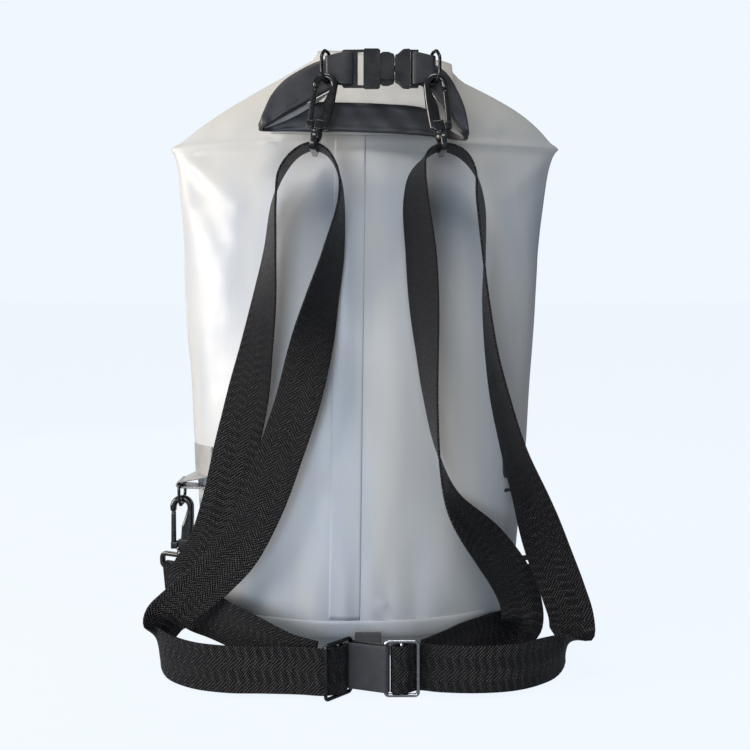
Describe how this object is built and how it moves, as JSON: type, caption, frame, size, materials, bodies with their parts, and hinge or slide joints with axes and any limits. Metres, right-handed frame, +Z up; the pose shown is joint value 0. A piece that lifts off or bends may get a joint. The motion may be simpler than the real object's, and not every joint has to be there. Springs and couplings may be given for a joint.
{
  "type": "dry bag",
  "caption": "Roll-top waterproof pack of clear film, standing on an oval base, closed by a side-release buckle, with webbing backpack straps on snap hooks.",
  "frame": {"origin": "on the floor, at the middle of the flat of the base", "axes": "+Z up towards the rolled mouth; -Y towards the strap side; +X to the right when facing the strap side"},
  "size_m": [0.3821, 0.2305, 0.5395],
  "materials": {
    "film": "satin translucent film",
    "dark_pvc": "smooth satin sheet",
    "grey_pvc": "smooth satin sheet",
    "webbing": "twill woven nylon",
    "buckle_plastic": "fine texture",
    "hook_plastic": "gloss",
    "dark_wire": "black coated, shiny"
  },
  "bodies": {
    "bag": {"bag_body": "film", "base_disc": "film", "closure_roll": "dark_pvc", "left_closure_tab": "dark_pvc", "right_closure_tab": "dark_pvc", "left_side_tab": "grey_pvc", "right_side_tab": "dark_pvc", "left_shoulder_strap": "webbing", "right_shoulder_strap": "webbing", "anchor_tab": "dark_pvc", "left_side_loop": "webbing", "right_side_loop": "webbing", "buckle_female": "buckle_plastic", "buckle_male": "buckle_plastic", "left_slider": "buckle_plastic", "right_slider": "dark_wire", "left_top_hook_swivel": "hook_plastic", "right_top_hook_swivel": "hook_plastic", "left_side_hook_swivel": "hook_plastic", "right_side_hook_swivel": "hook_plastic"},
    "left_top_hook_body": {"left_top_hook": "hook_plastic", "left_top_hook_gate_pin": "dark_wire"},
    "left_top_gate_body": {"left_top_hook_gate": "hook_plastic"},
    "right_top_hook_body": {"right_top_hook": "hook_plastic", "right_top_hook_gate_pin": "dark_wire"},
    "right_top_gate_body": {"right_top_hook_gate": "hook_plastic"},
    "left_side_hook_body": {"left_side_hook": "hook_plastic", "left_side_hook_gate_pin": "dark_wire"},
    "left_side_gate_body": {"left_side_hook_gate": "hook_plastic"},
    "right_side_hook_body": {"right_side_hook": "hook_plastic", "right_side_hook_gate_pin": "dark_wire"},
    "right_side_gate_body": {"right_side_hook_gate": "hook_plastic"},
    "left_top_ring_body": {"left_top_ring": "dark_wire"},
    "right_top_ring_body": {"right_top_ring": "dark_wire"},
    "left_side_ring_body": {"left_side_ring": "dark_wire"},
    "right_side_ring_body": {"right_side_ring": "dark_wire"},
    "release_prong_upper_body": {"release_prong_upper": "buckle_plastic"},
    "release_prong_lower_body": {"release_prong_lower": "buckle_plastic"}
  },
  "joints": [
    {"name": "left_top_swivel", "type": "hinge", "parent": "bag", "child": "left_top_hook_body", "pos_m": [-0.03974, -0.07932, 0.46112], "axis": [0.1736, 0, 0.9848], "range_deg": [-10, 1]},
    {"name": "left_top_gate", "type": "hinge", "parent": "left_top_hook_body", "child": "left_top_gate_body", "pos_m": [-0.04656, -0.07932, 0.46618], "axis": [0, 1, 0], "range_deg": [0, 17], "stiffness_Nm_per_rad": 0.01, "springref_deg": -5.73},
    {"name": "right_top_swivel", "type": "hinge", "parent": "bag", "child": "right_top_hook_body", "pos_m": [0.06442, -0.07932, 0.46072], "axis": [-0.1045, 0, 0.9945], "range_deg": [-1, 10]},
    {"name": "right_top_gate", "type": "hinge", "parent": "right_top_hook_body", "child": "right_top_gate_body", "pos_m": [0.07158, -0.07932, 0.4653], "axis": [0, -1, 0], "range_deg": [0, 17], "stiffness_Nm_per_rad": 0.01, "springref_deg": -5.73},
    {"name": "left_side_swivel", "type": "hinge", "parent": "bag", "child": "left_side_hook_body", "pos_m": [-0.1655, -0.032, 0.0917], "axis": [0, 0, 1], "range_deg": [-10, 10]},
    {"name": "left_side_gate", "type": "hinge", "parent": "left_side_hook_body", "child": "left_side_gate_body", "pos_m": [-0.1731, -0.032, 0.0955], "axis": [0, 1, 0], "range_deg": [0, 17], "stiffness_Nm_per_rad": 0.01, "springref_deg": -5.73},
    {"name": "right_side_swivel", "type": "hinge", "parent": "bag", "child": "right_side_hook_body", "pos_m": [0.156, -0.036, 0.0917], "axis": [0, 0, 1], "range_deg": [-10, 10]},
    {"name": "right_side_gate", "type": "hinge", "parent": "right_side_hook_body", "child": "right_side_gate_body", "pos_m": [0.1636, -0.036, 0.0955], "axis": [0, -1, 0], "range_deg": [0, 17], "stiffness_Nm_per_rad": 0.01, "springref_deg": -5.73},
    {"name": "left_top_ring_turn", "type": "hinge", "parent": "bag", "child": "left_top_ring_body", "pos_m": [-0.03, -0.0722, 0.5145], "axis": [0, 0, 1], "range_deg": [-1.5, 4]},
    {"name": "right_top_ring_turn", "type": "hinge", "parent": "bag", "child": "right_top_ring_body", "pos_m": [0.0575, -0.0722, 0.5145], "axis": [0, 0, 1], "range_deg": [-4, 1.5]},
    {"name": "left_side_ring_swing", "type": "hinge", "parent": "bag", "child": "left_side_ring_body", "pos_m": [-0.1655, -0.032, 0.152], "axis": [0, 1, 0], "range_deg": [-3, 3]},
    {"name": "right_side_ring_swing", "type": "hinge", "parent": "bag", "child": "right_side_ring_body", "pos_m": [0.156, -0.036, 0.152], "axis": [0, 1, 0], "range_deg": [-3, 3]},
    {"name": "release_prong_upper_squeeze", "type": "hinge", "parent": "bag", "child": "release_prong_upper_body", "pos_m": [0.025, -0.0722, 0.5217], "axis": [0, -1, 0], "range_deg": [0, 7], "stiffness_Nm_per_rad": 0.08, "springref_deg": -2.86},
    {"name": "release_prong_lower_squeeze", "type": "hinge", "parent": "bag", "child": "release_prong_lower_body", "pos_m": [0.025, -0.0722, 0.5073], "axis": [0, 1, 0], "range_deg": [0, 7], "stiffness_Nm_per_rad": 0.08, "springref_deg": -2.86}
  ]
}
